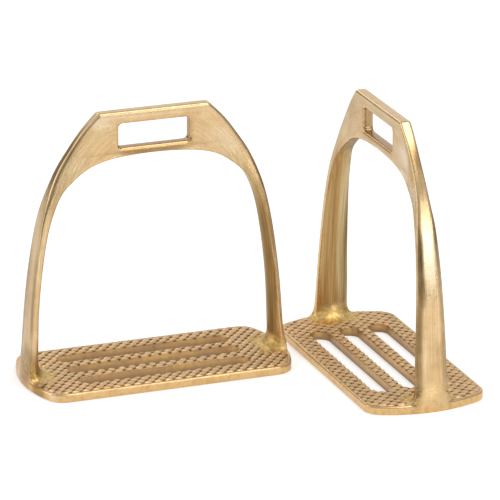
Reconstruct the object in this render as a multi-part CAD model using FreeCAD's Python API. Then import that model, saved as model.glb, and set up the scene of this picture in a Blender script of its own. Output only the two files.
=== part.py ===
import FreeCAD, Part
import math
import os

# Pair of cast brass four bar stirrups. Millimetres, +Z up.
# Each stirrup is drawn with X along its tread, Y from back to front and Z up
# from the underside of the tread, and is then stood in its place in the pair.

# Tread plate
tread_length = 136.0
tread_width = 62.0
tread_thickness = 4.4
end_bow = 7.9
corner_radius = 9.6
rim_round = 0.6
slot_length = 89.2
slot_width = 10.1
slot_pitch = 15.7

# Raised diamond grip
grip_height = 0.8
grip_border = 1.9
diamond_length = 5.3
diamond_width = 5.9
groove_depth = 0.7
groove_opening = 1.7
foot_margin = 2.2

# Branches: the joint with the head, then sizes at each station from the foot up
joint_below_top = 42.8
branch_height_shares = [0, 0.165, 0.35, 0.535, 0.715, 0.9, 1]
branch_insets = [1.0, 2.1, 3.1, 4.6, 6.7, 9.7, 12.1]
branch_thicknesses = [6.3, 5.9, 5.7, 5.6, 5.5, 5.7, 6.2]
branch_depths = [17.2, 16.5, 15.2, 13.9, 12.5, 10.5, 9.2]
branch_outer_bulges = [0.8, 0.9, 0.9, 0.8, 0.7, 0.5, 0.3]
branch_inner_bulges = [3.6, 3.5, 3.4, 3.1, 2.6, 1.6, 0.6]
foot_flare = 3.0
foot_flare_steps = 4

# Head with the strap eye
head_height = 134.8
head_top_half_width = 28.2
head_thickness = 6.0
head_round = 1.2
eye_width = 36.3
eye_height = 12.0
eye_below_top = 6.3
eye_corner_radius = 2.0
eye_round = 0.8
arch_below_eye = 4.1

# Shapes of the shoulder, the arch and the head's thinning, from joint to top
shoulder_height_shares = [0.187, 0.383, 0.596, 0.836]
shoulder_reach_shares = [0.892, 0.751, 0.538, 0.253]
arch_height_shares = [0.25, 0.5, 0.735, 0.902, 0.98]
arch_reach_shares = [0.94, 0.831, 0.694, 0.499, 0.247]
thinning_height_shares = [0.25, 0.5, 0.75, 1]
thinning_shares = [0.66, 0.37, 0.15, 0]

# Standing places of the two stirrups
pair_gap = 6.4
pair_step = 36.1
quarter_turn = 90.0

half_share = 0.5

# Heights and reaches that follow from the sizes above
foot_top = tread_thickness + foot_flare
joint_height = head_height - joint_below_top
eye_floor = head_height - eye_below_top - eye_height
arch_rise = eye_floor - arch_below_eye
branch_reaches = [tread_length * half_share - inset for inset in branch_insets]
branch_heights = [foot_top + share * (joint_height - foot_top) for share in branch_height_shares]


def half(size):
    return size * half_share


def prism(wire, along):
    return Part.Face(wire).extrude(along)


def arc(first, middle, last):
    return Part.Arc(first, middle, last).toShape()


def point(x, y, z):
    return FreeCAD.Vector(x, y, z)


def spline(points):
    curve = Part.BSplineCurve()
    curve.interpolate(points)
    return curve.toShape()


def plate_wire(height):
    """Straight long sides, bowed ends and rounded corners."""
    long_side = half(tread_width)
    end = half(tread_length)
    shoulder = end - end_bow
    corners = [
        point(shoulder, -long_side, height),
        point(shoulder, long_side, height),
        point(-shoulder, long_side, height),
        point(-shoulder, -long_side, height),
    ]
    sharp = Part.Wire([
        arc(corners[0], point(end, 0, height), corners[1]),
        Part.makeLine(corners[1], corners[2]),
        arc(corners[2], point(-end, 0, height), corners[3]),
        Part.makeLine(corners[3], corners[0]),
    ])
    block = prism(sharp, point(0, 0, tread_thickness))
    uprights = []
    for edge in block.Edges:
        first, last = [vertex.Point for vertex in edge.Vertexes]
        if abs(first.z - last.z) > half(tread_thickness):
            uprights.append(edge)
    rounded = block.makeFillet(corner_radius, uprights)
    floor = min(rounded.Faces, key=lambda face: face.CenterOfMass.z)
    return floor.OuterWire


def slot_cutters(bottom, top):
    """The three through slots with round ends."""
    cutters = []
    radius = half(slot_width)
    reach = half(slot_length) - radius
    for row in (-1, 0, 1):
        y = row * slot_pitch
        wire = Part.Wire([
            Part.makeLine(point(-reach, y - radius, bottom), point(reach, y - radius, bottom)),
            arc(
                point(reach, y - radius, bottom),
                point(reach + radius, y, bottom),
                point(reach, y + radius, bottom),
            ),
            Part.makeLine(point(reach, y + radius, bottom), point(-reach, y + radius, bottom)),
            arc(
                point(-reach, y + radius, bottom),
                point(-reach - radius, y, bottom),
                point(-reach, y - radius, bottom),
            ),
        ])
        cutters.append(prism(wire, point(0, 0, top - bottom)))
    return cutters


def grooves(side):
    """One family of parallel V grooves across the whole tread."""
    top = tread_thickness + grip_height
    run = point(half(diamond_length), side * half(diamond_width), 0)
    run.normalize()
    across = point(-run.y, run.x, 0)
    spacing = abs(diamond_length * run.y)
    count = math.ceil(math.hypot(tread_length, tread_width) / spacing / 2)
    cutters = []
    for index in range(-count, count + 1):
        start = across * (spacing * index) - run * tread_length
        lip = half(groove_opening)
        clear = grip_height
        slope_share = (groove_depth + clear) / groove_depth
        wire = Part.makePolygon([
            start + point(0, 0, top - groove_depth),
            start + across * (lip * slope_share) + point(0, 0, top + clear),
            start - across * (lip * slope_share) + point(0, 0, top + clear),
            start + point(0, 0, top - groove_depth),
        ])
        cutters.append(prism(wire, run * (tread_length * 2)))
    return Part.makeCompound(cutters)


def level_edges(solid):
    """Edges whose two ends are at one height."""
    found = []
    for edge in solid.Edges:
        heights = [vertex.Z for vertex in edge.Vertexes]
        if max(heights) - min(heights) < half(rim_round):
            found.append(edge)
    return found


def tread_plate():
    plate = prism(plate_wire(0), point(0, 0, tread_thickness))
    plate = plate.makeFillet(rim_round, level_edges(plate))
    inset = Part.Face(plate_wire(tread_thickness)).makeOffset2D(-grip_border)
    grip = inset.extrude(point(0, 0, grip_height))
    patch_depth = branch_depths[0] + (foot_flare + foot_margin) * 2
    patch_start = branch_reaches[0] - branch_thicknesses[0] - foot_flare - foot_margin
    for end in (-1, 1):
        corner = point(min(end * patch_start, end * tread_length), -half(patch_depth), 0)
        patch = Part.makeBox(tread_length - patch_start, patch_depth, tread_thickness * 2, corner)
        grip = grip.cut(patch)
    for side in (-1, 1):
        grip = grip.cut(grooves(side))
    tread = plate.fuse(grip)
    for slot in slot_cutters(-tread_thickness, tread_thickness * 2):
        tread = tread.cut(slot)
    return tread


def branch_section(height, reach, thickness, depth, outer_bulge, inner_bulge):
    """Nearly flat outer face, narrow edges and a rounded inner side."""
    outer_edge = reach - outer_bulge
    inner_edge = reach - thickness + inner_bulge
    back = half(depth)
    front = -back
    return Part.Wire([
        arc(
            point(outer_edge, front, height),
            point(reach, 0, height),
            point(outer_edge, back, height),
        ),
        Part.makeLine(point(outer_edge, back, height), point(inner_edge, back, height)),
        arc(
            point(inner_edge, back, height),
            point(reach - thickness, 0, height),
            point(inner_edge, front, height),
        ),
        Part.makeLine(point(inner_edge, front, height), point(outer_edge, front, height)),
    ])


def branch(end):
    """One blade from the tread up to the head, with its flared foot."""
    foot = []
    for step in range(foot_flare_steps + 1):
        turn = half(math.pi) * step / foot_flare_steps
        spread = foot_flare * (1 - math.sin(turn))
        height = branch_heights[0] - foot_flare * math.cos(turn)
        foot.append(branch_section(
            height,
            branch_reaches[0],
            branch_thicknesses[0] + spread,
            branch_depths[0] + spread * 2,
            branch_outer_bulges[0],
            branch_inner_bulges[0],
        ))
    blade = []
    for sizes in zip(
        branch_heights, branch_reaches, branch_thicknesses,
        branch_depths, branch_outer_bulges, branch_inner_bulges,
    ):
        blade.append(branch_section(*sizes))
    solid = Part.makeLoft(foot, True).fuse(Part.makeLoft(blade, True))
    if end < 0:
        solid = solid.mirror(point(0, 0, 0), point(1, 0, 0))
    return solid


def head_outline():
    """Flat top, sloping shoulders and the arch underneath, in the XZ plane."""
    outer = branch_reaches[-1]
    inner = outer - branch_thicknesses[-1]
    shoulder = [point(outer, 0, joint_height)]
    for reach_share, height_share in zip(shoulder_reach_shares, shoulder_height_shares):
        reach = head_top_half_width + reach_share * (outer - head_top_half_width)
        height = joint_height + height_share * (head_height - joint_height)
        shoulder.append(point(reach, 0, height))
    shoulder.append(point(head_top_half_width, 0, head_height))
    under = [point(inner, 0, joint_height)]
    for reach_share, height_share in zip(arch_reach_shares, arch_height_shares):
        height = joint_height + height_share * (arch_rise - joint_height)
        under.append(point(reach_share * inner, 0, height))
    arch = under + [point(0, 0, arch_rise)] + [point(-p.x, 0, p.z) for p in reversed(under)]
    far_shoulder = [point(-p.x, 0, p.z) for p in shoulder]
    return Part.Wire([
        spline(shoulder),
        Part.makeLine(shoulder[-1], far_shoulder[-1]),
        spline(far_shoulder),
        Part.makeLine(far_shoulder[0], arch[-1]),
        spline(arch),
        Part.makeLine(arch[0], shoulder[0]),
    ])


def head_side_outline():
    """Outline in the YZ plane, thinning from the joints to the flat plate."""
    joint_depth = branch_depths[-1]
    front = [point(0, half(joint_depth), joint_height)]
    for height_share, share in zip(thinning_height_shares, thinning_shares):
        thickness = head_thickness + share * (joint_depth - head_thickness)
        height = joint_height + height_share * (arch_rise - joint_height)
        front.append(point(0, half(thickness), height))
    back = [point(0, -p.y, p.z) for p in front]
    top_front = point(0, half(head_thickness), head_height)
    top_back = point(0, -half(head_thickness), head_height)
    return Part.Wire([
        spline(front),
        Part.makeLine(front[-1], top_front),
        Part.makeLine(top_front, top_back),
        Part.makeLine(top_back, back[-1]),
        spline(back),
        Part.makeLine(back[0], front[0]),
    ])


def strap_eye():
    """Cutter for the strap slot, with round corners."""
    block = Part.makeBox(
        eye_width, tread_width, eye_height,
        point(-half(eye_width), -half(tread_width), eye_floor),
    )
    sides = [edge for edge in block.Edges if abs(edge.tangentAt(edge.FirstParameter).y) > half_share]
    return block.makeFillet(eye_corner_radius, sides)


def head():
    blank = prism(head_outline(), point(0, tread_width, 0))
    blank.translate(point(0, -half(tread_width), 0))
    sides = prism(head_side_outline(), point(tread_length, 0, 0))
    sides.translate(point(-half(tread_length), 0, 0))
    solid = blank.common(sides)
    rims = []
    for edge in solid.Edges:
        middle = edge.valueAt(half(edge.FirstParameter + edge.LastParameter))
        if middle.z > joint_height + eye_round:
            rims.append(edge)
    solid = solid.makeFillet(head_round, rims)
    solid = solid.cut(strap_eye())
    lips = []
    for edge in solid.Edges:
        box = edge.BoundBox
        narrow = max(abs(box.XMin), abs(box.XMax)) < half(eye_width) + eye_round
        above_floor = box.ZMin > eye_floor - eye_round
        below_top = box.ZMax < eye_floor + eye_height + eye_round
        if narrow and above_floor and below_top and box.YLength < eye_round:
            lips.append(edge)
    return solid.makeFillet(eye_round, lips)


def export(shape, name):
    if len(shape.Solids) == 1:
        shape = shape.Solids[0]
    print(name, len(shape.Solids), "solid", len(shape.Faces), "faces", round(shape.Volume / 1000, 2), "cm3")
    shape.exportStep("parts/" + name + ".step")


def stand(shape, turn, x, y):
    placed = shape.copy()
    placed.rotate(point(0, 0, 0), point(0, 0, 1), turn)
    placed.translate(point(x, y, 0))
    return placed


os.makedirs("parts", exist_ok=True)

castings = {
    "head": head(),
    "near_branch": branch(1),
    "far_branch": branch(-1),
    "tread_plate": tread_plate(),
}

# The middle of the pair's outline is the origin
pair_right = half(tread_length) + pair_gap + tread_width
pair_back = max(half(tread_width), half(tread_length) - pair_step)
pair_front = -pair_step - half(tread_length)
first_x = -half(pair_right - half(tread_length))
first_y = -half(pair_back + pair_front)
second_x = first_x + half(tread_length) + pair_gap + half(tread_width)
second_y = first_y - pair_step
places = {
    "left": (0, first_x, first_y),
    "right": (-quarter_turn, second_x, second_y),
}

for stirrup, place in places.items():
    for piece, shape in castings.items():
        export(stand(shape, *place), stirrup + "_" + piece)
print("left at", first_x, first_y, "right at", second_x, second_y)
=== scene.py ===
import math

import bpy
import bmesh
import numpy as np
from mathutils import Matrix, Vector


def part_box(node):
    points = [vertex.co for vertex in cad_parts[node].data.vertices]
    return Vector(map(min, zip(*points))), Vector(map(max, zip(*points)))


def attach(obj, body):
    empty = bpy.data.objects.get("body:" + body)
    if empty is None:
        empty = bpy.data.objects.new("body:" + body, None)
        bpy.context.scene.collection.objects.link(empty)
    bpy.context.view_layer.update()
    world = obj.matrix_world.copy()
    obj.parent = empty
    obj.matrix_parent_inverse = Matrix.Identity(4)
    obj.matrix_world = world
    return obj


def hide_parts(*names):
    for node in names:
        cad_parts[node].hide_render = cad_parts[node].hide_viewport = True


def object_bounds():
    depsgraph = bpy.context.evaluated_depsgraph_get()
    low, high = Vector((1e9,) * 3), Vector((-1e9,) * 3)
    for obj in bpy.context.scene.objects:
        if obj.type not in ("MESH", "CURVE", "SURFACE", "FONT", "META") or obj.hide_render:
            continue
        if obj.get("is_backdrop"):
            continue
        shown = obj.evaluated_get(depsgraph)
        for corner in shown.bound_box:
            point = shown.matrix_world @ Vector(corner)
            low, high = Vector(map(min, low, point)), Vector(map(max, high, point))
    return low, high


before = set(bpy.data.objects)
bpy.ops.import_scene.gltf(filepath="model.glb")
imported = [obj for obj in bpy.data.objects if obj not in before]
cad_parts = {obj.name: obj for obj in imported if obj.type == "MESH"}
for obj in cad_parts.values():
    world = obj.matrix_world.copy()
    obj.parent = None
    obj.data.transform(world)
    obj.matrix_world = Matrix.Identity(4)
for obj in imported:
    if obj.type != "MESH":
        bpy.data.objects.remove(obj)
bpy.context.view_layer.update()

# Everything about a stirrup is in millimetres until its mesh is placed.
# A stirrup has X along its tread, Y from back to front and Z up.
MM = 0.001

# Tread plate
tread_low, tread_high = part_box("left_tread_plate")
tread_length = (tread_high.x - tread_low.x) / MM
tread_width = (tread_high.y - tread_low.y) / MM
grip_height = 0.8
tread_thickness = (tread_high.z - tread_low.z) / MM - grip_height
end_bow = 7.9
corner_radius = 9.6
rim_round = 0.9
slot_length = 89.2
slot_width = 10.1
slot_pitch = 15.7
slot_round = 0.45
grip_border = 1.9
diamond_length = 5.3
diamond_width = 5.9
groove_depth = 0.66
diamond_fullness = 2.3
diamond_unevenness = 0.12
diamond_tilt = 0.3
foot_margin = 2.6
foot_margin_edge = 1.2
grip_edge = (grip_border - 0.35, grip_border + 0.25)
grip_slope = 0.8
grip_overlap = 0.6
foot_inward_stretch = 2.0

# Branches and head
head_low, head_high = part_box("left_head")
head_height = head_high.z / MM
joint_height = head_low.z / MM
foot_top = 7.4
branch_height_shares = [0, 0.165, 0.35, 0.535, 0.715, 0.9, 1]
branch_insets = [1.0, 2.1, 3.1, 4.6, 6.7, 9.7, 12.1]
branch_thicknesses = [6.3, 5.9, 5.7, 5.6, 5.5, 5.7, 6.2]
branch_depths = [17.2, 16.5, 15.2, 13.9, 12.5, 10.5, 9.2]
branch_outer_bulges = [1.5, 1.6, 1.6, 1.5, 1.3, 0.9, 0.5]
branch_inner_bulges = [3.2, 3.1, 3.0, 2.7, 2.2, 1.4, 0.5]
head_top_half_width = 28.2
head_thickness = 6.0
eye_width = 36.3
eye_height = 12.0
eye_below_top = 6.3
eye_corner_radius = 2.0
arch_below_eye = 4.1
shoulder_height_shares = [0.187, 0.383, 0.596, 0.836]
shoulder_reach_shares = [0.892, 0.751, 0.538, 0.253]
arch_height_shares = [0.25, 0.5, 0.735, 0.902, 0.98]
arch_reach_shares = [0.94, 0.831, 0.694, 0.499, 0.247]
thinning_height_shares = [0.25, 0.5, 0.75, 1]
thinning_shares = [0.66, 0.37, 0.15, 0]
branch_edge_round = 0.55
head_edge_round = 1.4
gentle_reach = 1.76
head_corner_round = 1.0
head_crown = 0.3
head_crown_reach = 6.0
top_crown_share = 0.2
crown_start = joint_height - 4
crown_full = joint_height + 14
top_fade = (head_height - 12, head_height - 2)
head_edge_reach = 12
foot_fillet = 5.0
foot_inner_fillet = 9.0
fillet_change = (-5, 3)
fillet_end = 0.8
foot_reach = 20.0
flush_height = 4.6
bulge_fade = 7.4
inner_ridge = 0.6
ridge_softness = 0.03
depth_limit = 1.3
outer_bevel_power = 4
far_bulge_share = 0.35

eye_floor = head_height - eye_below_top - eye_height
arch_rise = eye_floor - arch_below_eye
half_length = tread_length / 2
half_width = tread_width / 2
box_low = np.array([-half_length, -half_width, 0])
box_high = np.array([half_length, half_width, head_height])
branch_heights = [foot_top + s * (joint_height - foot_top) for s in branch_height_shares]

# Plane on which the tread plate ends and the branches start
tread_cut = tread_thickness + grip_height + 0.1

# Waves left by casting and polishing: their height, lengths along X, Y and Z, and shift
slow_wave_height = 0.05
slow_wave_lengths = (9, 7, 17)
slow_wave_shift = (3, 1, 0)
quick_wave_height = 0.025
quick_wave_lengths = (4, 4, 7)
quick_wave_shift = (0, 9, 0)
wave_step = 0.3

# Marks on the surface
spot_core = 0.35
swirl_reach = 3.0
bump_height = 0.25 * MM
bump_strength = 0.4

# The right stirrup is the left one turned, with its own waves and polishing marks
stirrup_turns = {"left": 0, "right": -math.pi / 2}
noise_seeds = {"left": 3, "right": 8}
grain_shifts = {"left": (0.0, 0.0, 0.0), "right": (40.0, 30.0, 500.0)}

# Where casting pits show on each stirrup: centre, reach and strength
pitted_spots = {
    "left": [((-24, -3, 129), 7, 1), ((22, -3, 113), 6, 1), ((52, -3, 100), 6, 1)],
    "right": [
        ((63, 0, 62), 9, 1), ((66, 3, 47), 6, 1), ((-30, -3, 122), 10, 1), ((48, -1, 102), 7, 1),
    ],
}

# Where the brass is darker, partly as tarnish and partly as painted shade: centre, reach along
# each axis and strength
tarnish_and_shade_spots = {
    "left": [
        ((59, 0, 56), (12, 18, 74), 0.9),
        ((-66, -2, 12), (14, 12, 16), 1),
        ((-65, -17, 2), (6, 8, 5), 1),
        ((63, -22, 2), (7, 12, 5), 0.7),
        ((-66, 6, 60), (9, 8, 60), 1),
        ((-66, -2, 30), (9, 9, 50), 0.45),
        ((0, -3, 114), (26, 3, 3), 1),
        ((-44, 0, 110), (20, 3.2, 26), 1),
    ],
    "right": [
        ((66, -8.5, 34), (9, 5, 44), 1),
        ((64, -4.5, 61), (6, 3, 13), 0.8),
        ((66, 9, 50), (9, 3, 60), 1),
        ((66, -6, 84), (12, 5, 22), 1),
        ((-60, 6, 50), (9, 3, 60), 1),
        ((70, 3, 30), (8, 9, 26), 0.5),
        ((-30, -3, 122), (9, 3, 13), 0.3),
        ((42, 1, 122), (12, 4, 18), 0.7),
    ],
}

# Painted highlights, where the brass is made paler: centre, reach along each axis and strength
painted_highlight_spots = {
    "left": [
        ((-26, -3, 130), (10, 3, 5), 0.5),
        ((38, -3, 116), (10, 3, 12), 0.3),
        ((-61, -27, 2), (3.5, 3.5, 5), 0.5),
    ],
    "right": [
        ((34, -3, 112), (7, 4, 18), 1),
        ((46, -3, 98), (6, 4, 14), 0.7),
        ((61, 0, 80), (9, 5, 30), 0.7),
    ],
}

# Kinds of surface that the material tells apart
surface_kinds = (
    "calm", "band", "cast", "groove", "slot_wall", "deep", "skirt", "inside", "bevel", "eye",
    "eye_wall", "pitted", "tarnish_and_shade", "painted_highlight",
)

# Polished brass, and the paler gold of painted highlights
gold_dark = (0.69, 0.475, 0.24)
gold_light = (0.95, 0.69, 0.40)
gold_calm = (0.77, 0.51, 0.23)
gold_warm = (0.80, 0.52, 0.24)
gold_green = (0.63, 0.53, 0.28)
gold_cloudy = (0.69, 0.47, 0.24)
gold_shine = (1.0, 0.82, 0.54)
painted_highlight_gold = (1.0, 0.86, 0.64)
gold_low = (0.78, 0.46, 0.15)
gold_mottled = (0.60, 0.36, 0.14)

# Duller brass with painted shade, in front and behind, and its darkest places: painted shade at
# the bevels and in the eye's walls, brown around the eye, in casting pits and in tarnished and
# shaded spots
dull_and_shaded_dark = (0.44, 0.28, 0.11)
dull_and_shaded_light = (0.68, 0.47, 0.21)
olive_dark = (0.46, 0.36, 0.19)
olive_light = (0.72, 0.58, 0.34)
painted_bevel_shade = (0.36, 0.26, 0.13)
eye_brown = (0.66, 0.40, 0.17)
painted_eye_wall_shade = (0.40, 0.26, 0.14)
hole_brown = (0.20, 0.13, 0.07)
tarnish_and_shade_tint = (0.42, 0.34, 0.20)

# Brass as cast: the grip, the slots and the skirts around the feet, with painted shade in the
# grooves, the pits and low on the slot walls
cast_dark = (0.82, 0.48, 0.22)
cast_light = (1.0, 0.74, 0.44)
cast_patch = (0.76, 0.56, 0.31)
painted_groove_shade = (0.34, 0.18, 0.065)
painted_pit_shade = (0.14, 0.06, 0.012)
slot_red = (0.58, 0.37, 0.19)
slot_gold = (0.84, 0.55, 0.22)
slot_dark = (0.40, 0.25, 0.14)
painted_slot_shade = (0.31, 0.19, 0.095)
skirt_dark = (0.62, 0.40, 0.13)
skirt_light = (0.95, 0.67, 0.26)

# Mesh: size of its cells, how they are worked through, and the share of faces kept
cell = 0.42
kept_share = 0.55
block_cells = 8
block_reach = 1.3
blocks_at_once = 600
slope_step = 0.08
least_slope = 0.2
flat_enough = 0.999
tiny = 1e-9


def spline(knots, values):
    """Natural cubic spline through the knots, flat beyond them."""
    knots = np.asarray(knots, float)
    values = np.asarray(values, float)
    steps = np.diff(knots)
    count = len(knots)
    system = np.eye(count)
    right = np.zeros(count)
    for i in range(1, count - 1):
        system[i, i - 1] = steps[i - 1]
        system[i, i] = 2 * (steps[i - 1] + steps[i])
        system[i, i + 1] = steps[i]
        right[i] = 6 * (
            (values[i + 1] - values[i]) / steps[i] - (values[i] - values[i - 1]) / steps[i - 1]
        )
    bends = np.linalg.solve(system, right)

    def at(x):
        x = np.clip(x, knots[0], knots[-1])
        i = np.clip(np.searchsorted(knots, x) - 1, 0, count - 2)
        step = steps[i]
        low = knots[i + 1] - x
        high = x - knots[i]
        return (
            (bends[i] * low**3 + bends[i + 1] * high**3) / (6 * step)
            + (values[i] / step - bends[i] * step / 6) * low
            + (values[i + 1] / step - bends[i + 1] * step / 6) * high
        )

    return at


class Noise:
    """Smooth noise from -1 to 1, from a seeded lattice."""

    size = 32

    def __init__(self, seed):
        lattice = np.random.default_rng(seed).uniform(-1, 1, (self.size,) * 3)
        self.lattice = lattice.astype(np.float32)

    def __call__(self, x, y, z):
        total = 0
        parts = []
        for c in (x, y, z):
            base = np.floor(c)
            t = c - base
            parts.append((base.astype(int) % self.size, t * t * (3 - 2 * t)))
        for corner in range(8):
            weight = 1
            index = []
            for axis, (base, t) in enumerate(parts):
                high = corner >> axis & 1
                weight = weight * (t if high else 1 - t)
                index.append((base + high) % self.size)
            total = total + weight * self.lattice[index[0], index[1], index[2]]
        return total


def smooth_step(low, high, x):
    t = np.clip((x - low) / (high - low), 0, 1)
    return t * t * (3 - 2 * t)


def meet(a, b, radius):
    """Where both hold, with a round edge."""
    return np.minimum(np.maximum(a, b), -radius) + np.hypot(
        np.maximum(a + radius, 0), np.maximum(b + radius, 0)
    )


def softly_meet(a, b, radius):
    """Where both hold, with an edge that turns more gently than an arc."""
    reach = gentle_reach * radius
    share = np.maximum(reach - np.abs(a - b), 0) / reach
    return np.maximum(a, b) + share**3 * reach / 6


def blend(a, b, size):
    """Either one, with a fillet between them."""
    share = np.maximum(size - np.abs(a - b), 0) / size
    return np.minimum(a, b) - share * share * size / 4


# Outlines in the XZ plane, kept as a table of distances

def closed_distance(points, x, z):
    """Signed distance to a closed outline, below zero inside."""
    points = np.asarray(points, float)
    nearest = np.full(x.shape, 1e9)
    inside = np.zeros(x.shape, bool)
    for (x0, z0), (x1, z1) in zip(points, np.roll(points, -1, 0)):
        dx, dz = x1 - x0, z1 - z0
        size = dx * dx + dz * dz
        if size == 0:
            continue
        t = np.clip(((x - x0) * dx + (z - z0) * dz) / size, 0, 1)
        nearest = np.minimum(nearest, (x - x0 - t * dx) ** 2 + (z - z0 - t * dz) ** 2)
        if dz:
            inside ^= ((z0 <= z) != (z1 <= z)) & (x < x0 + (z - z0) * dx / dz)
    return np.sqrt(nearest) * np.where(inside, -1, 1)


def outer_outline():
    joint_reach = half_length - branch_insets[-1]
    heights = [0] + branch_heights
    reaches = [half_length] + [half_length - inset for inset in branch_insets]
    for reach_share, height_share in zip(shoulder_reach_shares, shoulder_height_shares):
        heights.append(joint_height + height_share * (head_height - joint_height))
        reaches.append(head_top_half_width + reach_share * (joint_reach - head_top_half_width))
    heights.append(head_height)
    reaches.append(head_top_half_width)
    z = np.linspace(0, head_height, 220)
    side = list(zip(spline(heights, reaches)(z), z))
    # The top corners are a little round
    start = np.array(next(p for p in side if p[1] > head_height - head_corner_round))
    corner = np.array(side[-1])
    finish = corner - (head_corner_round, 0)
    side = [p for p in side if p[1] < start[1]]
    for t in np.linspace(0, 1, 9):
        side.append(tuple((1 - t)**2 * start + 2 * t * (1 - t) * corner + t * t * finish))
    side = [(half_length, -half_length)] + side
    return side + [(-x, z) for x, z in reversed(side)]


def opening_outline():
    inner = half_length - branch_insets[-1] - branch_thicknesses[-1]
    points = [
        (half_length - inset - thickness, height)
        for inset, thickness, height in zip(branch_insets, branch_thicknesses, branch_heights)
    ]
    for reach_share, height_share in zip(arch_reach_shares, arch_height_shares):
        height = joint_height + height_share * (arch_rise - joint_height)
        points.append((reach_share * inner, height))
    points.append((0, arch_rise))
    points += [(-x, z) for x, z in reversed(points[:-1])]
    points = np.array(points)
    along = np.concatenate([[0], np.cumsum(np.hypot(*np.diff(points, axis=0).T))])
    t = np.linspace(0, along[-1], 420)
    curve = list(zip(spline(along, points[:, 0])(t), spline(along, points[:, 1])(t)))
    foot = points[0, 0]
    return [(foot, -half_length)] + curve + [(-foot, -half_length)]


class Table:
    """A function of x and z, read between the points of a grid."""

    step = 0.5
    reach = half_length + 6
    floor = -8
    top = head_height + 8

    def __init__(self, outline):
        x = np.arange(0, self.reach, self.step)
        z = np.arange(self.floor, self.top, self.step)
        self.values = closed_distance(outline, *np.meshgrid(x, z, indexing="ij"))

    def __call__(self, x, z):
        u = np.clip(np.abs(x) / self.step, 0, self.values.shape[0] - 1.001)
        v = np.clip((z - self.floor) / self.step, 0, self.values.shape[1] - 1.001)
        i, j = u.astype(int), v.astype(int)
        s, t = u - i, v - j
        grid = self.values
        return (
            (grid[i, j] * (1 - s) + grid[i + 1, j] * s) * (1 - t)
            + (grid[i, j + 1] * (1 - s) + grid[i + 1, j + 1] * s) * t
        )


outer_side = Table(outer_outline())
opening = Table(opening_outline())

depth_heights = list(branch_heights)
depths = list(branch_depths)
for height_share, share in zip(thinning_height_shares, thinning_shares):
    depth_heights.append(joint_height + height_share * (arch_rise - joint_height))
    depths.append(head_thickness + share * (branch_depths[-1] - head_thickness))
depth_at = spline(depth_heights + [head_height], depths + [head_thickness])
bulge_heights = branch_heights + [joint_height + bulge_fade, head_height]
outer_bulge_at = spline(bulge_heights, branch_outer_bulges + [0.12, 0])
inner_bulge_at = spline(bulge_heights, branch_inner_bulges + [0.15, 0])

# Circle that the bowed ends of the tread follow, and the round corners on it
bow_radius = (end_bow**2 + half_width**2) / (2 * end_bow)
bow_centre = half_length - bow_radius
corner_y = half_width - corner_radius
corner_x = bow_centre + math.sqrt((bow_radius - corner_radius) ** 2 - corner_y**2)


def rim_distance(x, y):
    """Signed distance to the tread's outline seen from above."""
    x, y = np.abs(x), np.abs(y)
    end = np.hypot(x - bow_centre, y) - bow_radius
    side = y - half_width
    corner = np.hypot(x - corner_x, y - corner_y) - corner_radius
    past_end = (x - corner_x) * corner_y - (y - corner_y) * (corner_x - bow_centre) < 0
    in_corner = (x > corner_x) & past_end
    return np.where(in_corner, corner, np.maximum(end, side))


def slot_distance(x, y):
    """Signed distance to the nearest of the three slots, below zero inside."""
    radius = slot_width / 2
    row = np.clip(np.round(y / slot_pitch), -1, 1)
    return np.hypot(
        np.maximum(np.abs(x) - (slot_length / 2 - radius), 0), y - row * slot_pitch
    ) - radius


def foot_distance(x, y):
    """Distance from the block that a branch's foot covers."""
    reach = half_length - branch_insets[0]
    return np.hypot(
        np.maximum(reach - branch_thicknesses[0] - np.abs(x), 0) / foot_inward_stretch,
        np.maximum(np.abs(y) - branch_depths[0] / 2, 0),
    )


def grip_level(x, y, rim):
    """Height of the grip above the plate: diamonds between crossing grooves."""
    u = x / diamond_length + y / diamond_width
    v = x / diamond_length - y / diamond_width
    column, row = np.floor(u), np.floor(v)
    # Each diamond has a height and a tilt of its own
    one = np.sin(column * 12.9 + row * 78.2)
    two = np.sin(column * 39.3 + row * 11.1 + 2)
    level = grip_height - diamond_unevenness * (0.5 + 0.5 * np.sin(column * 26.7 + row * 47.4))
    level = level + diamond_tilt * (one * (u - column - 0.5) + two * (v - row - 0.5))
    for t in (u, v):
        middle = 2 * np.abs(t - np.round(t))
        level = level - groove_depth * (1 - middle) ** diamond_fullness
    mask = smooth_step(*grip_edge, -rim)
    mask = mask * smooth_step(foot_margin, foot_margin + foot_margin_edge, foot_distance(x, y))
    return np.clip(level, 0, grip_height) * mask


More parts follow.
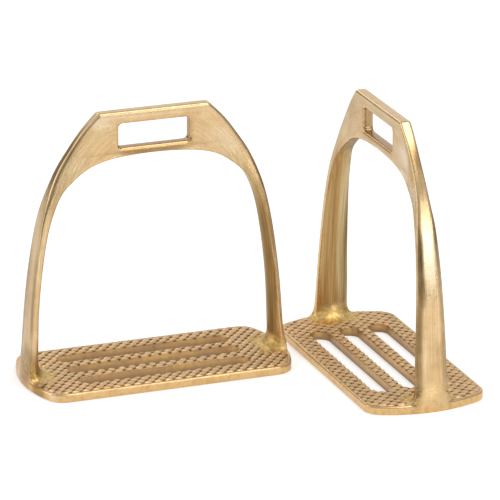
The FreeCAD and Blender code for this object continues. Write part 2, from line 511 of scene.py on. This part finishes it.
def arch_side(x, y, z):
    """The branches and the head, below zero inside."""
    depth = depth_at(z)
    q = np.clip(np.abs(y) / (depth / 2), 0, depth_limit)
    ridge = inner_ridge * smooth_step(foot_top, 2 * foot_reach, z)
    ridged = np.sqrt(q * q + ridge_softness) - math.sqrt(ridge_softness)
    roof = (1 - ridge) * q * q + ridge * ridged
    flatness = far_bulge_share + (1 - far_bulge_share) * smooth_step(-1, 1, x)
    outside = outer_side(x, z) + outer_bulge_at(z) * flatness * q**outer_bevel_power
    if z.min() < foot_reach:
        rest = np.clip((foot_reach - z) / (foot_reach - flush_height), 0, 1) ** 2
        outside = rim_distance(x, y) * rest + outside * (1 - rest)
    inside = inner_bulge_at(z) * roof - opening(x, z)
    face = np.maximum(outside, inside)
    if z.max() > crown_start:
        edge = np.clip(1 + outer_side(x, z) / head_crown_reach, 0, 1)
        crown = head_crown * smooth_step(crown_start, crown_full, z)
        crown = crown * (1 - (1 - top_crown_share) * smooth_step(*top_fade, z))
        depth = depth - 2 * crown * edge * edge
        eye_x = np.maximum(np.abs(x) - (eye_width / 2 - eye_corner_radius), 0)
        eye_z = np.abs(z - eye_floor - eye_height / 2) - (eye_height / 2 - eye_corner_radius)
        eye = np.hypot(eye_x, np.maximum(eye_z, 0)) - eye_corner_radius
        face = np.maximum(face, -eye)
    head_share = smooth_step(joint_height - head_edge_reach, joint_height + head_edge_reach, z)
    edge_round = branch_edge_round + (head_edge_round - branch_edge_round) * head_share
    return softly_meet(face, np.abs(y) - depth / 2, edge_round)


def casting(x, y, z):
    """Below zero inside the stirrup, above zero outside it."""
    arch = arch_side(x, y, z)
    if z.min() > foot_reach:
        return arch
    arch = np.maximum(arch, tread_thickness / 2 - z)
    rim = rim_distance(x, y)
    plate = meet(rim, np.maximum(z - tread_thickness, -z), rim_round)
    grip = (z - tread_thickness - grip_level(x, y, rim)) * grip_slope
    grip = np.maximum(grip, rim + grip_border - grip_overlap)
    grip = np.maximum(grip, tread_thickness / 2 - z)
    plate = meet(np.minimum(plate, grip), -slot_distance(x, y), slot_round)
    inward_of_foot = half_length - branch_insets[0] - branch_thicknesses[0] - np.abs(x)
    inner_share = smooth_step(*fillet_change, inward_of_foot)
    fillet = foot_fillet + (foot_inner_fillet - foot_fillet) * inner_share
    fillet = fillet * (1 - smooth_step(foot_top * 2, foot_reach, z))
    fillet = fillet * (1 - smooth_step(-fillet_end, 0, rim))
    return np.maximum(blend(arch, plate, np.maximum(fillet, cell / 100)), rim)


def inward(values):
    """Whether a sample is inside; zero counts as outside."""
    return values < 0


cell_corners = np.array([[i >> 2 & 1, i >> 1 & 1, i & 1] for i in range(8)])
cell_edges = [(a, b) for a in range(8) for b in range(a + 1, 8) if bin(a ^ b).count("1") == 1]


def crossed_cells(values):
    """Which cells of the blocks the surface crosses, and where in each of them it lies."""
    n = block_cells
    boxes = [values[:, a:n + a, b:n + b, c:n + c] for a, b, c in cell_corners]
    signs = sum(inward(box).astype(int) for box in boxes)
    crossed = (signs > 0) & (signs < 8)
    at = [box[crossed] for box in boxes]
    total = np.zeros((len(at[0]), 3))
    hits = np.zeros(len(at[0]))
    for a, b in cell_edges:
        cut = inward(at[a]) != inward(at[b])
        t = np.where(cut, at[a] / np.where(cut, at[a] - at[b], 1), 0)
        spot = cell_corners[a] + t[:, None] * (cell_corners[b] - cell_corners[a])
        total += np.where(cut[:, None], spot, 0)
        hits += cut
    return crossed, total / hits[:, None]


def crossed_edges(filled, places, numbered):
    """A quad across each edge of the grid that the surface crosses, as its cells' numbers."""
    n = block_cells
    here = filled[:, :n, :n, :n]
    quads = []
    for axis in range(3):
        a, b, c = np.eye(3, dtype=int)[axis]
        change = here != filled[:, a:n + a, b:n + b, c:n + c]
        if not change.any():
            continue
        edge = [place[:, :n, :n, :n][change] for place in places]
        one, two = [v for v in range(3) if v != axis]
        ring = []
        for back_one, back_two in ((1, 1), (0, 1), (0, 0), (1, 0)):
            corner = list(edge)
            corner[one] = corner[one] - back_one
            corner[two] = corner[two] - back_two
            ring.append(numbered(corner))
        ring = np.stack(ring, -1)
        leaving = here[change]
        flip = leaving if axis != 1 else ~leaving
        quads.append(np.where(flip[:, None], ring, ring[:, ::-1]))
    return quads


def surface(field):
    """Quads on the zero level of a field, from blocks of cells that it crosses."""
    low = box_low - 2 * cell
    high = box_high + 2 * cell
    block = block_cells * cell
    counts = np.ceil((high - low) / block).astype(int)
    grid = np.stack(np.meshgrid(*(np.arange(n) for n in counts), indexing="ij"), -1).reshape(-1, 3)
    centre = low + (grid + 0.5) * block
    grid = grid[np.abs(field(*centre.T)) < block * block_reach]
    grid = grid[np.argsort(grid[:, 2], kind="stable")]
    span = counts * block_cells + 1

    def numbered(place):
        """One number for each cell of the whole grid."""
        return (place[0] * span[1] + place[1]) * span[2] + place[2]

    n = block_cells
    local = np.meshgrid(*[np.arange(n + 1)] * 3, indexing="ij")
    ids, spots, quads = [], [], []
    for start in range(0, len(grid), blocks_at_once):
        base = grid[start:start + blocks_at_once] * n
        places = [base[:, axis, None, None, None] + local[axis] for axis in range(3)]
        values = field(*(low[axis] + places[axis] * cell for axis in range(3)))
        crossed, offsets = crossed_cells(values)
        cells = np.stack([place[:, :n, :n, :n][crossed] for place in places], -1)
        ids.append(numbered(cells.T))
        spots.append(low + (cells + offsets) * cell)
        quads += crossed_edges(inward(values), places, numbered)
    ids, spots, quads = (np.concatenate(rows) for rows in (ids, spots, quads))
    order = np.argsort(ids)
    ids, spots = ids[order], spots[order]
    index = np.clip(np.searchsorted(ids, quads), 0, len(ids) - 1)
    whole = (ids[index] == quads).all(1)
    return spots, index[whole]


def slope(field, points):
    """The field's own slope at the points."""
    parts = []
    for axis in range(3):
        shift = np.zeros(3)
        shift[axis] = slope_step
        change = field(*(points + shift).T) - field(*(points - shift).T)
        parts.append(change / (2 * slope_step))
    return np.stack(parts, -1)


def settle(field, points, rounds):
    """Moves points onto the zero level and inside the CAD solid's box."""
    for _ in range(rounds):
        s = slope(field, points)
        size = np.maximum((s * s).sum(1), least_slope)
        move = (field(*points.T) / size)[:, None] * s
        far = np.linalg.norm(move, axis=1, keepdims=True)
        points = points - move * np.minimum(1, 0.5 * cell / np.maximum(far, tiny))
    return np.clip(points, box_low, box_high)


def make_mesh(name, points, faces):
    mesh = bpy.data.meshes.new(name)
    mesh.from_pydata(points.tolist(), [], faces.tolist())
    return mesh


def thinned(mesh, share):
    """Fewer faces where the surface is plain."""
    holder = bpy.data.objects.new("thin", mesh)
    bpy.context.scene.collection.objects.link(holder)
    change = holder.modifiers.new("thin", "DECIMATE")
    change.ratio = share
    result = bpy.data.meshes.new_from_object(
        holder.evaluated_get(bpy.context.evaluated_depsgraph_get())
    )
    bpy.data.objects.remove(holder)
    bpy.data.meshes.remove(mesh)
    return result


def in_plane(face, place, away):
    """Whether a face lies in the plane through a place, square to a direction."""
    distances = [abs((vertex.co - place).dot(away)) for vertex in face.verts]
    return abs(face.normal.dot(away)) > flat_enough and max(distances) < cell / 100


def split(mesh):
    """Closed pieces of the casting, cut where the CAD nodes meet."""
    # Each cut is a place on its plane and the direction of what is taken away
    up, down = Vector((0, 0, 1)), Vector((0, 0, -1))
    middle, on_tread, under_head = (Vector((0, 0, z)) for z in (0, tread_cut, joint_height))
    branch = [(on_tread, down), (under_head, up)]
    cuts = {
        "tread_plate": [(on_tread, up)],
        "near_branch": branch + [(middle, Vector((-1, 0, 0)))],
        "far_branch": branch + [(middle, Vector((1, 0, 0)))],
        "head": [(under_head, down)],
    }
    pieces = {}
    for piece, planes in cuts.items():
        shape = bmesh.new()
        shape.from_mesh(mesh)
        for place, away in planes:
            everything = shape.verts[:] + shape.edges[:] + shape.faces[:]
            found = bmesh.ops.bisect_plane(
                shape, geom=everything, plane_co=place, plane_no=away, clear_outer=True
            )
            edges = [g for g in found["geom_cut"] if isinstance(g, bmesh.types.BMEdge)]
            if edges:
                made = bmesh.ops.holes_fill(shape, edges=edges, sides=0)["faces"]
                bmesh.ops.triangulate(shape, faces=made)
                for face in shape.faces:
                    if in_plane(face, place, away):
                        face.smooth = False
        pieces[piece] = bpy.data.meshes.new(piece)
        shape.to_mesh(pieces[piece])
        shape.free()
    return pieces


def wave(points, noise):
    """Height of the waves left by casting and by polishing by hand."""
    slow = noise(*(points / slow_wave_lengths + slow_wave_shift).T)
    quick = noise(*(points / quick_wave_lengths + quick_wave_shift).T)
    return slow_wave_height * slow + quick_wave_height * quick


def worn(points, normals, noise):
    """The casting's own unevenness."""
    move = wave(points, noise)
    steps = np.eye(3) * wave_step
    turn = np.stack([wave(points + step, noise) - move for step in steps], -1) / wave_step
    turned = normals - turn + (turn * normals).sum(1, keepdims=True) * normals
    turned /= np.linalg.norm(turned, axis=1, keepdims=True)
    moved = points + normals * move[:, None]
    return np.clip(moved, box_low, box_high), turned


def near_any(points, regions):
    """From 0 to 1, how near the points are to the middle of any of the regions."""
    share = np.zeros(len(points))
    for centre, reach, strength in regions:
        away = np.linalg.norm((points - centre) / np.array(reach), axis=1)
        share = np.maximum(share, strength * (1 - smooth_step(spot_core, 1, away)))
    return share


# Fades between kinds of surface, each from where to where: up the stirrup
tread_end = (tread_thickness + grip_height, foot_top + 1)
tread_top_start = (tread_thickness - 0.5, tread_thickness - 0.1)
underside_end = (0.05, 0.4)
skirt_start = (tread_thickness - 0.6, tread_thickness)
skirt_end = (foot_top + 1, foot_top + 5)
arch_grain_start = (tread_thickness + 1, foot_top + 6)
calm_end = (foot_top, foot_reach + 4)
bevel_start = (foot_top, foot_reach)
bevel_end = (joint_height - 20, joint_height + 10)
inside_end = (joint_height - 4, joint_height + 22)
swirl_start = (joint_height - 15, joint_height + 15)

# Away from the border of the grip, a slot, a foot, the eye and the outline
grip_start = (grip_border - 0.8, grip_border)
slot_wall_end = (0.1, 0.6)
foot_end = (0.3, 3.0)
foot_share = 0.6
skirt_reach = (1.5, 5.5)
eye_wall_end = (0, 0.5)
eye_wall_depth = (0.4, 1.2)
eye_end = (0.2, 4.5)
swirl_past_eye = (0.5, 5)
swirl_past_outline = (1, 5)
swirl_size = (14, 9, 14)
arch_stretch = 0.8

# Across a branch, as shares of its thickness and of half its depth
outer_end = (0.25, 0.5)
inner_start = (0.5, 0.75)
bevel_inner_edge = (0.55, 0.75)
bevel_outer_edge = (0.93, 1.0)


def fade_in(span, value):
    return smooth_step(*span, value)


def fade_out(span, value):
    return 1 - smooth_step(*span, value)


def surface_facts(points, noise, stirrup):
    """Per point: the share of each kind of surface, and the polishing direction."""
    x, y, z = points.T
    rim = rim_distance(x, y)
    from_foot = foot_distance(x, y)

    # Tread: its bare border, the grip, the slots and the skirts around the feet
    tread = fade_out(tread_end, z)
    inner = fade_in(grip_start, -rim)
    top = fade_in(tread_top_start, z)
    wall = fade_out(slot_wall_end, slot_distance(x, y))
    under = fade_out(underside_end, z)
    foot = fade_out(foot_end, from_foot)
    slot_wall = tread * wall
    # Painted shade: slot walls darker towards the bottom
    deep = slot_wall * np.clip((tread_thickness - z) / tread_thickness, 0, 1)
    below_grip = np.clip((tread_thickness + grip_height - z) / groove_depth, 0, 1)
    groove = tread * inner * top * below_grip * (1 - foot)
    cast = tread * inner * np.maximum(top * (1 - foot_share * foot), np.maximum(wall, under))
    skirt = inner * fade_out(skirt_reach, from_foot)
    skirt = skirt * fade_out(skirt_end, z) * fade_in(skirt_start, z)

    # Arch: its inner side, the edges of its outer side and the eye
    across = outer_side(x, z)
    depth_share = -across / np.maximum(opening(x, z) - across, 1)
    inside = fade_in(inner_start, depth_share) * (1 - tread) * fade_out(inside_end, z)
    # Painted shade: a band along each branch's outer edges, standing in for a dark reflection
    aside = np.abs(y) / (depth_at(z) / 2)
    bevel = fade_in(bevel_inner_edge, aside) * fade_out(bevel_outer_edge, aside)
    bevel = bevel * fade_out(outer_end, depth_share)
    bevel = bevel * fade_in(bevel_start, z) * fade_out(bevel_end, z)
    eye_x = np.maximum(np.abs(x) - eye_width / 2, 0)
    eye_z = np.maximum(np.abs(z - eye_floor - eye_height / 2) - eye_height / 2, 0)
    from_eye = np.hypot(eye_x, eye_z)
    # Painted shade inside the eye, growing away from the head's faces
    eye_wall = fade_out(eye_wall_end, from_eye)
    eye_wall = eye_wall * fade_in(eye_wall_depth, head_thickness / 2 - np.abs(y))

    # Polishing follows the outline of the arch, swirling on the head, and the rim of the tread
    angle = np.arctan2(np.maximum(z - joint_height, 0), np.abs(x) + 1)
    along = np.minimum(z, joint_height) + half_length * arch_stretch * angle
    swirl = swirl_reach * fade_in(swirl_start, z)
    swirl = swirl * fade_in(swirl_past_outline, -across) * fade_in(swirl_past_eye, from_eye)
    swirl = swirl * noise(*(points / swirl_size).T)
    arch_grain = np.stack([across + swirl, y, along], -1)
    tread_grain = np.stack([z, rim, x + y], -1)
    share = fade_in(arch_grain_start, z)[:, None]
    return {
        "calm": fade_out(calm_end, z),
        "band": tread * (1 - inner),
        "cast": cast * (1 - skirt),
        "groove": groove,
        "slot_wall": slot_wall,
        "deep": deep,
        "skirt": skirt,
        "inside": inside * (1 - skirt),
        "bevel": bevel,
        "eye": fade_out(eye_end, from_eye),
        "eye_wall": eye_wall,
        "pitted": near_any(points, pitted_spots[stirrup]),
        "tarnish_and_shade": near_any(points, tarnish_and_shade_spots[stirrup]),
        "painted_highlight": near_any(points, painted_highlight_spots[stirrup]),
    }, arch_grain * share + tread_grain * (1 - share)


class Wiring:
    """Nodes of one node tree, wired as they are made."""

    def __init__(self, tree):
        self.nodes = tree.nodes
        self.links = tree.links

    def put(self, socket, value):
        """Links the socket, or sets its number or colour."""
        if isinstance(value, bpy.types.NodeSocket):
            self.links.new(value, socket)
        elif socket.type == "RGBA":
            socket.default_value = (*value, 1)
        else:
            socket.default_value = value

    def node(self, kind, **settings):
        made = self.nodes.new(kind)
        for key, value in settings.items():
            setattr(made, key, value)
        return made

    def filled(self, made, values, output=0):
        """The node's output, once its inputs are filled."""
        for key, value in values.items():
            self.put(made.inputs[key], value)
        return made.outputs[output]

    def attribute(self, name, output="Fac"):
        return self.node("ShaderNodeAttribute", attribute_name=name).outputs[output]

    def stretched(self, vector, scale):
        return self.filled(self.node("ShaderNodeMapping"), {"Vector": vector, "Scale": scale})

    def noise(self, vector, scale, detail, roughness=0.5):
        values = {"Vector": vector, "Scale": scale, "Detail": detail, "Roughness": roughness}
        return self.filled(self.node("ShaderNodeTexNoise"), values, "Fac")

    def parts(self, vector):
        """The vector's X, Y and Z."""
        made = self.node("ShaderNodeSeparateXYZ")
        self.put(made.inputs[0], vector)
        return made.outputs

    def spread(self, value, low, high, out_low=0, out_high=1, kind="LINEAR"):
        """Turns low to high into out_low to out_high, and holds it between them."""
        made = self.node("ShaderNodeMapRange", interpolation_type=kind)
        return self.filled(made, dict(enumerate((value, low, high, out_low, out_high))))

    def softly_spread(self, value, low, high, out_low=0, out_high=1):
        return self.spread(value, low, high, out_low, out_high, "SMOOTHSTEP")

    def maths(self, operation, *values):
        made = self.node("ShaderNodeMath", operation=operation)
        return self.filled(made, dict(enumerate(values)))

    def times(self, one, two):
        return self.maths("MULTIPLY", one, two)

    def mixed(self, share, one, two, blend_type="MIX"):
        made = self.node("ShaderNodeMix", data_type="RGBA", blend_type=blend_type)
        return self.filled(made, {0: share, 6: one, 7: two}, 2)

    def mixed_number(self, share, one, two):
        made = self.node("ShaderNodeMix", data_type="FLOAT")
        return self.filled(made, {0: share, 2: one, 3: two})

    def layered(self, colour, layers):
        """The colour under layers, each a share and a colour."""
        for share, tone in layers:
            colour = self.mixed(share, colour, tone)
        return colour


def brass_material():
    """Satin polished brass, browner and rougher where it is left as cast."""
    brass = bpy.data.materials.new("satin_brass")
    brass.use_nodes = True
    wiring = Wiring(brass.node_tree)
    spread, times, mixed = wiring.spread, wiring.times, wiring.mixed
    shader = wiring.nodes["Principled BSDF"]
    grain = wiring.attribute("grain", "Vector")
    spot = wiring.attribute("spot", "Vector")
    place = wiring.parts(spot)
    on = {name: wiring.attribute(name) for name in surface_kinds}

    # Noises, in millimetres: soft patches, polishing streaks and casting grit
    patches = wiring.noise(spot, 0.055, 3)
    clouds = wiring.noise(spot, 0.17, 3)
    mottle = wiring.noise(spot, 0.4, 3)
    lumps = wiring.noise(spot, 0.7, 3, 0.55)
    specks = wiring.noise(spot, 1.3, 2, 0.6)
    grit = wiring.noise(spot, 2.2, 4, 0.65)
    wide = wiring.noise(wiring.stretched(spot, (0.05, 0.2, 0.2)), 1, 3)
    tints = wiring.noise(wiring.stretched(grain, (0.16, 0.16, 0.03)), 1, 3)
    streaks = wiring.noise(wiring.stretched(grain, (0.55, 0.55, 0.035)), 1, 6, 0.68)
    fine = wiring.noise(wiring.stretched(grain, (1.3, 1.3, 0.022)), 1, 3, 0.6)
    scratches = wiring.noise(wiring.stretched(grain, (3.2, 3.2, 0.12)), 1, 4, 0.6)

    # Grooves between the diamonds, and the pits where they cross
    along = wiring.maths("DIVIDE", place["X"], diamond_length)
    aside = wiring.maths("DIVIDE", place["Y"], diamond_width)
    one_way = wiring.maths("PINGPONG", wiring.maths("ADD", along, aside), 0.5)
    other_way = wiring.maths("PINGPONG", wiring.maths("SUBTRACT", along, aside), 0.5)
    crossing = wiring.maths("MAXIMUM", one_way, other_way)
    # Painted shade along the grooves, heavier one way than the other, and in the pits where they
    # cross
    lines = wiring.maths(
        "MAXIMUM", spread(one_way, 0.02, 0.18, 0.5, 0), spread(other_way, 0.02, 0.2, 0.9, 0)
    )
    pits = times(spread(crossing, 0.16, 0.27, 1, 0), on["groove"])
    pit_shade = times(pits, spread(lumps, 0.3, 0.55, 0.75, 1))

    # Polished brass
    shine = times(spread(fine, 0.54, 0.7, 0, 0.5), spread(on["calm"], 0, 1, 1, 0.2))
    low_on_rim = times(on["band"], spread(place["Z"], 1.2, 3.8, 0.5, 0))
    gold = mixed(spread(streaks, 0.32, 0.68), gold_dark, gold_light)
    gold = wiring.layered(gold, (
        (times(on["calm"], 0.75), gold_calm),
        (spread(patches, 0.45, 0.68, 0, 0.7), gold_warm),
        (spread(tints, 0.52, 0.72, 0, 0.5), gold_green),
        (spread(clouds, 0.42, 0.66, 0, 0.75), gold_cloudy),
        (shine, gold_shine),
        # Painted highlight: paler gold in the listed spots
        (times(on["painted_highlight"], spread(streaks, 0.3, 0.6, 0.55, 1)), painted_highlight_gold),
        (times(low_on_rim, spread(clouds, 0.4, 0.6, 0.5, 1)), gold_low),
        (times(on["band"], spread(mottle, 0.5, 0.68, 0, 0.65)), gold_mottled),
    ))

    # Duller brass with painted shade on the inner side of the branches, painted shade at the
    # bevels, and duller brass around the eye
    # The inner side's colour is partly duller brass and partly painted shade
    dull_and_shaded = mixed(spread(fine, 0.35, 0.65), dull_and_shaded_dark, dull_and_shaded_light)
    olive = mixed(spread(fine, 0.35, 0.65), olive_dark, olive_light)
    dull_and_shaded = mixed(spread(place["Y"], -1, 4, 0, 0.8), dull_and_shaded, olive)
    gold = wiring.layered(gold, (
        (on["inside"], dull_and_shaded),
        # Painted shade on the bevels
        (times(on["bevel"], spread(patches, 0.35, 0.55, 0.2, 0.7)), painted_bevel_shade),
        (times(on["eye"], spread(lumps, 0.4, 0.62, 0.15, 0.85)), eye_brown),
    ))

    # Brass as cast, with painted shade in its grooves, pits and slots and inside the eye
    as_cast = mixed(spread(lumps, 0.35, 0.65), cast_dark, cast_light)
    as_cast = mixed(spread(patches, 0.4, 0.62, 0, 0.55), as_cast, cast_patch)
    cut = mixed(spread(wide, 0.4, 0.6), slot_red, slot_gold)
    cut = mixed(spread(lumps, 0.4, 0.65, 0, 0.6), cut, slot_dark)
    skirt = mixed(spread(lumps, 0.35, 0.65), skirt_dark, skirt_light)
    holes = times(spread(specks, 0.6, 0.7, 0, 0.85), spread(on["pitted"], 0.1, 0.9))
    colour = wiring.layered(gold, (
        (on["cast"], as_cast),
        (times(lines, on["groove"]), painted_groove_shade),
        (times(on["slot_wall"], 0.8), cut),
        (spread(on["deep"], 0.25, 0.8, 0, 0.8), painted_slot_shade),
        (spread(pit_shade, 0, 1, 0, 0.95), painted_pit_shade),
        (on["skirt"], skirt),
        (times(on["eye_wall"], 0.75), painted_eye_wall_shade),
        (holes, hole_brown),
    ))
    # Tarnish and painted shade darken the listed spots
    stain_and_shade = times(on["tarnish_and_shade"], spread(streaks, 0.35, 0.65, 1, 0.55))
    wiring.put(shader.inputs["Base Color"], mixed(stain_and_shade, colour, tarnish_and_shade_tint, "MULTIPLY"))
    # The painted shade in the grip's pits is matt and isn't metal
    wiring.put(shader.inputs["Specular IOR Level"], 0)
    wiring.put(shader.inputs["Metallic"], spread(pit_shade, 0, 1, 1, 0))

    roughness = spread(streaks, 0.3, 0.7, 0.17, 0.31)
    roughness = wiring.mixed_number(on["inside"], roughness, spread(streaks, 0.3, 0.7, 0.3, 0.42))
    cast_roughness = spread(grit, 0.3, 0.7, 0.3, 0.5)
    roughness = wiring.mixed_number(on["cast"], roughness, cast_roughness)
    roughness = wiring.mixed_number(on["skirt"], roughness, cast_roughness)
    wiring.put(shader.inputs["Roughness"], roughness)

    # Scratches, streaks, grit and lumps in relief
    polished = wiring.maths("ADD", times(scratches, 0.3), times(streaks, 0.9))
    rough = wiring.maths(
        "ADD", times(grit, times(on["cast"], 1.2)), times(times(lumps, on["skirt"]), 2.2)
    )
    relief = wiring.maths("ADD", polished, rough)
    relief = {"Height": relief, "Strength": bump_strength, "Distance": bump_height}
    wiring.put(shader.inputs["Normal"], wiring.filled(wiring.node("ShaderNodeBump"), relief))
    return brass


def read(items, label, width=1, kind=float):
    """A value of each of a mesh's items, as an array."""
    values = np.empty(len(items) * width, kind)
    items.foreach_get(label, values)
    return values.reshape(-1, width) if width > 1 else values


def casting_mesh():
    """The whole stirrup, with fewer faces where it is plain."""
    spots, quads = surface(casting)
    mesh = thinned(make_mesh("casting", settle(casting, spots, 2), quads), kept_share)
    points = settle(casting, read(mesh.vertices, "co", 3), 1)
    mesh.vertices.foreach_set("co", points.ravel())
    mesh.shade_smooth()
    return mesh


def corner_normals(mesh, normals):
    """The smooth surface's normals, and flat ones where two pieces meet."""
    face_of = np.repeat(np.arange(len(mesh.polygons)), read(mesh.polygons, "loop_total", kind=int))
    smooth = read(mesh.polygons, "use_smooth", kind=bool)[face_of]
    smooth_normals = normals[read(mesh.loops, "vertex_index", kind=int)]
    return np.where(smooth[:, None], smooth_normals, read(mesh.polygons, "normal", 3)[face_of])


def placed(source, stirrup, noise, place):
    """A copy of a piece as it is on one stirrup, worn, standing in place and in metres."""
    mesh = source.copy()
    points = read(mesh.vertices, "co", 3)
    normals = slope(casting, points)
    normals /= np.maximum(np.linalg.norm(normals, axis=1, keepdims=True), tiny)
    points, normals = worn(points, normals, noise)
    shares, grain = surface_facts(points, noise, stirrup)
    for label, vectors in (("grain", grain + grain_shifts[stirrup]), ("spot", points)):
        held = mesh.attributes.new(label, "FLOAT_VECTOR", "POINT")
        held.data.foreach_set("vector", vectors.ravel())
    for label in surface_kinds:
        held = mesh.attributes.new(label, "FLOAT", "POINT")
        held.data.foreach_set("value", shares[label])
    mesh.vertices.foreach_set("co", (points * MM).ravel())
    mesh.transform(place)
    normals = normals @ np.array(place.to_3x3()).T
    mesh.normals_split_custom_set(corner_normals(mesh, normals).tolist())
    return mesh


castings = split(casting_mesh())
satin_brass = brass_material()
for stirrup, turn in stirrup_turns.items():
    low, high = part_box(stirrup + "_tread_plate")
    middle = (low + high) / 2
    place = Matrix.Translation((middle.x, middle.y, 0)) @ Matrix.Rotation(turn, 4, "Z")
    noise = Noise(noise_seeds[stirrup])
    for piece, source in castings.items():
        name = stirrup + "_" + piece
        mesh = placed(source, stirrup, noise, place)
        obj = bpy.data.objects.new(name + "_cast", mesh)
        bpy.context.scene.collection.objects.link(obj)
        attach(obj, "root")
        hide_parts(name)
        mesh.materials.append(satin_brass)


def turned_to(way):
    """Matrix of a camera or lamp that looks this way."""
    return way.to_track_quat("-Z", "Y").to_matrix().to_4x4()


# Camera
view_turn = math.radians(20.92)
view_pitch = math.radians(19.18)
view_roll = math.radians(0.17)
view_aim = Vector((0.0023, -0.0008, 0.0691))
view_distance = 2.155
camera = bpy.data.cameras.new("camera")
camera.lens = 321.2
camera.sensor_width = 36
camera.clip_end = 50
camera_holder = bpy.data.objects.new("camera", camera)
bpy.context.scene.collection.objects.link(camera_holder)
view_way = Vector((
    math.sin(view_turn) * math.cos(view_pitch),
    math.cos(view_turn) * math.cos(view_pitch),
    -math.sin(view_pitch),
))
camera_holder.matrix_world = (
    Matrix.Translation(view_aim - view_way * view_distance)
    @ turned_to(view_way) @ Matrix.Rotation(view_roll, 4, "Z")
)
bpy.context.scene.camera = camera_holder

# Floor: white, with only a faint shadow left in it
floor_size = 12
floor_colour = (0.8, 0.8, 0.8)
floor_glow = 0.46

# Floor as the metal reflects it: brightest in front, dark far in front and at the back right
near_floor_glow = 0.34
far_floor_glow = 0.12
brightest_spot = (0.12, -0.28, 0)
glow_fade = (0.25, 0.9)
dark_floor_colour = (0.12, 0.12, 0.12)
dark_right_edge = (0.03, 0.12)
dark_back_edge = (0.0, 0.12)
dark_front_edge = (-0.8, -0.4)

# Studio: a grey room, darker at the horizon, white for the camera
horizon_glow = 0.16
ceiling_glow = 0.62
wall_heights = (0.05, 0.4)
backdrop_glow = 0.85
backdrop_way = (0.357, 0.934)
backdrop_edge = (0.7, 0.9)
white_colour = (1, 1, 1)

# Softboxes: place, aim, width, height and radiance
softboxes = {
    "top": ((0.35, -0.55, 1.4), (0, 0, 0.05), 0.9, 0.75, 2.6),
    "front": ((0.47, -1.12, 0.3), (0, 0, 0.2), 0.42, 0.54, 2.5),
    "back": ((-0.3, 1.35, 0.98), (0, 0, 0.07), 0.7, 0.3, 1.6),
    "left": ((-1.1, 0.36, 0.46), (0, 0, 0.12), 0.8, 0.9, 1.2),
}


def floor_material():
    white = bpy.data.materials.new("white")
    white.use_nodes = True
    wiring = Wiring(white.node_tree)
    times, softly_spread = wiring.times, wiring.softly_spread
    ray = wiring.node("ShaderNodeLightPath").outputs
    spot = wiring.node("ShaderNodeTexCoord").outputs["Object"]
    place = wiring.parts(spot)
    away = wiring.node("ShaderNodeVectorMath", operation="SUBTRACT")
    away = wiring.filled(away, {0: spot, 1: brightest_spot})
    distance = wiring.node("ShaderNodeVectorMath", operation="LENGTH")
    distance = wiring.filled(distance, {0: away}, "Value")
    reflected = softly_spread(distance, *glow_fade, near_floor_glow, far_floor_glow)
    reflected = times(reflected, ray["Is Glossy Ray"])
    strength = wiring.maths("MULTIPLY_ADD", ray["Is Camera Ray"], floor_glow, reflected)

    dark = times(ray["Is Glossy Ray"], softly_spread(place["X"], *dark_right_edge))
    dark = times(dark, softly_spread(place["Y"], *dark_back_edge))
    dark_in_front = times(ray["Is Glossy Ray"], softly_spread(place["Y"], *dark_front_edge, 1, 0))
    dark = wiring.maths("MAXIMUM", dark, dark_in_front)
    colour = wiring.mixed(dark, floor_colour, dark_floor_colour)

    paint = {"Base Color": colour, "Roughness": 1, "Specular IOR Level": 0}
    paint = wiring.filled(wiring.nodes["Principled BSDF"], paint)
    glow = wiring.filled(wiring.node("ShaderNodeEmission"), {"Strength": strength})
    both = wiring.filled(wiring.node("ShaderNodeAddShader"), {0: paint, 1: glow})
    wiring.put(wiring.nodes["Material Output"].inputs["Surface"], both)
    return white


def light_room(world):
    world.use_nodes = True
    wiring = Wiring(world.node_tree)
    ray = wiring.node("ShaderNodeLightPath").outputs
    way = wiring.parts(wiring.node("ShaderNodeTexCoord").outputs["Generated"])
    walls = wiring.softly_spread(way["Z"], *wall_heights, horizon_glow, ceiling_glow)
    # The metal shows the white backdrop behind it
    sideways = wiring.times(way["X"], backdrop_way[0])
    towards = wiring.maths("MULTIPLY_ADD", way["Y"], backdrop_way[1], sideways)
    shown = wiring.times(wiring.softly_spread(towards, *backdrop_edge), ray["Is Glossy Ray"])
    strength = wiring.mixed_number(shown, walls, backdrop_glow)

    room = {"Color": white_colour, "Strength": strength}
    room = wiring.filled(wiring.nodes["Background"], room)
    backdrop = wiring.filled(wiring.node("ShaderNodeBackground"), {"Color": white_colour})
    seen = {0: ray["Is Camera Ray"], 1: room, 2: backdrop}
    seen = wiring.filled(wiring.node("ShaderNodeMixShader"), seen)
    wiring.put(wiring.nodes["World Output"].inputs["Surface"], seen)


def softbox(name, place, aim, width, height, radiance):
    lamp = bpy.data.lights.new(name, "AREA")
    lamp.shape = "RECTANGLE"
    lamp.size = width
    lamp.size_y = height
    lamp.energy = radiance * width * height * math.pi
    holder = bpy.data.objects.new(name, lamp)
    bpy.context.scene.collection.objects.link(holder)
    holder.matrix_world = Matrix.Translation(place) @ turned_to(Vector(aim) - Vector(place))


bpy.ops.mesh.primitive_plane_add(size=floor_size, location=(0, 0, 0))
floor = bpy.context.object
floor.name = "floor"
floor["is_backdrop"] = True
floor.data.materials.append(floor_material())

world = bpy.context.scene.world or bpy.data.worlds.new("studio")
bpy.context.scene.world = world
light_room(world)
for name, settings in softboxes.items():
    softbox(name, *settings)

bpy.context.scene.view_settings.view_transform = "Standard"

low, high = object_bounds()
